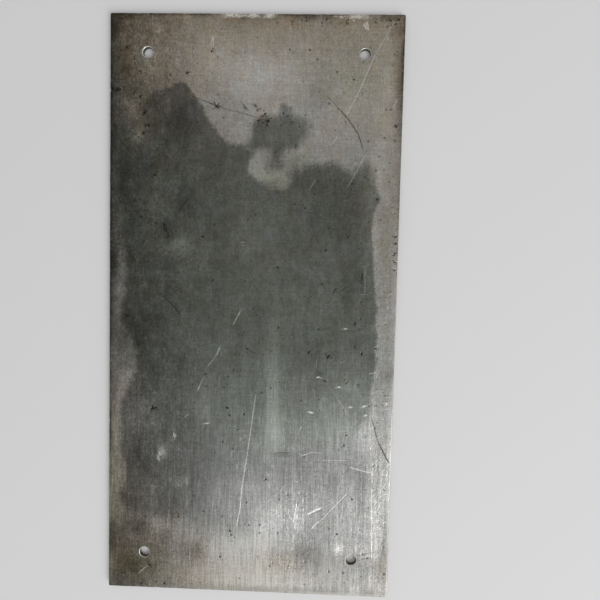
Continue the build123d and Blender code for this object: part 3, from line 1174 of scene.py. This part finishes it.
def edge_finish():
    """The sheared wall: a burnished band over a torn, darker one, with tarnish and a little rust."""
    finish = Finish("sheared_edge")
    times, total = finish.times, finish.total
    draw_lines = finish.noise(1.5, 1.5, upright=0.15, detail=3, roughness=0.6)
    torn = finish.noise(2.5, 2.5, upright=2.5, detail=4, roughness=0.7, shift=5)
    mottle = finish.noise(0.2, 0.2, upright=0.6, detail=5, roughness=0.65, shift=9)
    border = total(finish.upright, (mottle, 0.8))
    burnished = finish.rise(border, fracture_height - 0.1, fracture_height + 0.1)
    below_rim = finish.rise(total(finish.upright, (torn, 0.8)), thickness - 2.1, thickness - 0.7)
    # The wall under the rim is darkened by the same painted shade and dirt
    rim_dirt_and_shade = times(finish.mark("rim_dirt_and_shade"), below_rim)
    shades = ((draw_lines, 0.8), (torn, 0.7), (mottle, 1.2), (rim_dirt_and_shade, 3.0))
    density = total(0.9, times(burnished, -0.4), *shades)
    rust = finish.rise(total(mottle, (torn, 0.4)), 0.14, 0.24, 0.0, 0.8)
    colour = finish.mix(rust, finish.darkened_steel(density, finish.rise(mottle, -0.05, 0.15)), rust_brown)
    roughness = total(0.60, times(burnished, -0.22), (mottle, 0.3), (rust, 0.25))
    fractured = finish.math("SUBTRACT", 1.0, burnished)
    height = total(times(torn, fractured), (draw_lines, 0.4))
    return finish.surface(colour, total(1.0, (rust, -0.7)), roughness, height, 0.12)


def bore_finish():
    """A drilled hole: turned rings, with painted shade low down."""
    finish = Finish("drilled_bore")
    total = finish.total
    rings = finish.noise(0.1, 0.1, upright=9.0, detail=3, roughness=0.6)
    mottle = finish.noise(0.6, 0.6, upright=0.8, detail=4, shift=4)
    # Painted shade: the bore darkens and grows rougher towards its bottom
    painted_depth_shade = finish.rise(finish.upright, face_height - rim_break, 0.9)
    density = total(0.5, (painted_depth_shade, 1.9), (rings, 0.8), (mottle, 0.8))
    colour = finish.darkened_steel(density, finish.rise(mottle, -0.1, 0.2))
    # A bright band at the top of the bore: bare metal, with a painted highlight where the rim faces the
    # lamp
    rim_height = total(finish.upright, (mottle, 0.3))
    rim = finish.rise(rim_height, face_height - rim_break, face_height - 0.1)
    rim = finish.times(rim, total(0.25, finish.mark("wear_and_highlight")), clamp=True)
    colour = finish.mix(rim, colour, bare_metal_and_highlight)
    return finish.surface(colour, 1.0, total(0.42, (painted_depth_shade, 0.15), (mottle, 0.2)), rings, 0.03)


def underside_finish():
    """The face it lies on: the same ground steel, duller and more evenly tarnished."""
    finish = Finish("ground_underside")
    total = finish.total
    grain = finish.noise(1.6, 0.05, detail=3, roughness=0.6, shift=21)
    broad_grain = finish.noise(0.45, 0.015, detail=2, shift=23)
    mottle = finish.noise(0.22, 0.18, detail=6, roughness=0.7, shift=25)
    cloud = finish.noise(0.025, 0.02, detail=4, roughness=0.6, shift=27)
    speckle = finish.noise(1.0, 0.8, detail=2, shift=29)
    stain = finish.rise(total(cloud, (mottle, 0.25)), -0.02, 0.09)
    shades = ((mottle, 0.9), (speckle, 0.8), (grain, 0.8), (broad_grain, 0.7))
    density = total(0.75, (stain, 0.4), (cloud, 1.5), *shades)
    warmth = finish.rise(total(cloud, mottle), -0.1, 0.25, 0.05, 0.45)
    rust = finish.rise(total(mottle, (cloud, 0.6), (speckle, 0.4)), 0.17, 0.26, 0.0, 0.7)
    colour = finish.mix(rust, finish.darkened_steel(density, warmth), rust_brown)
    roughness = total(0.46, (stain, 0.06), (mottle, 0.15), (rust, 0.2))
    height = finish.noise(5.0, 0.15, detail=2, shift=31)
    return finish.surface(colour, total(1.0, (rust, -0.6)), roughness, height, 0.008)


def link(item):
    """Put an object in the scene."""
    bpy.context.scene.collection.objects.link(item)


def dressed_plate():
    """The plate as it looks, in place of the CAD plate."""
    plate = bpy.data.objects.new("dressed_plate", plate_mesh())
    link(plate)
    for make_finish in (top_finish, edge_finish, bore_finish, underside_finish):
        plate.data.materials.append(make_finish())
    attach(plate, "root")
    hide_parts("steel_plate")


def floor():
    """A plain pale floor."""
    mesh = bpy.data.meshes.new("floor")
    turns = ((-1, -1), (1, -1), (1, 1), (-1, 1))
    mesh.from_pydata([(x * floor_reach, y * floor_reach, 0) for x, y in turns], [], [(0, 1, 2, 3)])
    surface = bpy.data.objects.new("floor", mesh)
    surface.location.z = -floor_drop * MM
    link(surface)
    material = bpy.data.materials.new("floor")
    material.use_nodes = True
    shader = material.node_tree.nodes["Principled BSDF"]
    shader.inputs["Base Color"].default_value = (0.80, 0.80, 0.80, 1)
    shader.inputs["Roughness"].default_value = 0.9
    mesh.materials.append(material)


def studio():
    """Grey surroundings and one large soft lamp that faces the plate's middle from the front right."""
    world = bpy.data.worlds.new("studio")
    world.use_nodes = True
    background = world.node_tree.nodes["Background"]
    background.inputs["Color"].default_value = (1, 1, 1, 1)
    background.inputs["Strength"].default_value = world_strength
    bpy.context.scene.world = world
    lamp = bpy.data.lights.new("key_lamp", "AREA")
    lamp.shape = "SQUARE"
    lamp.size = lamp_size
    lamp.energy = lamp_radiance * math.pi * lamp_size**2
    box = bpy.data.objects.new("key_lamp", lamp)
    box.location = lamp_place
    box.rotation_euler = (-Vector(lamp_place)).to_track_quat("-Z", "Y").to_euler()
    link(box)


def camera():
    """Look down on the plate from where the photo was taken."""
    lens = bpy.data.cameras.new("camera")
    lens.lens = camera_lens
    lens.sensor_width = camera_sensor
    lens.clip_start = 0.01
    holder = bpy.data.objects.new("camera", lens)
    holder.location = Vector(camera_place) * MM
    holder.rotation_euler = [math.radians(angle) for angle in camera_angles]
    link(holder)
    bpy.context.scene.camera = holder


bpy.context.scene.view_settings.view_transform = "Standard"
floor()
studio()
camera()
dressed_plate()
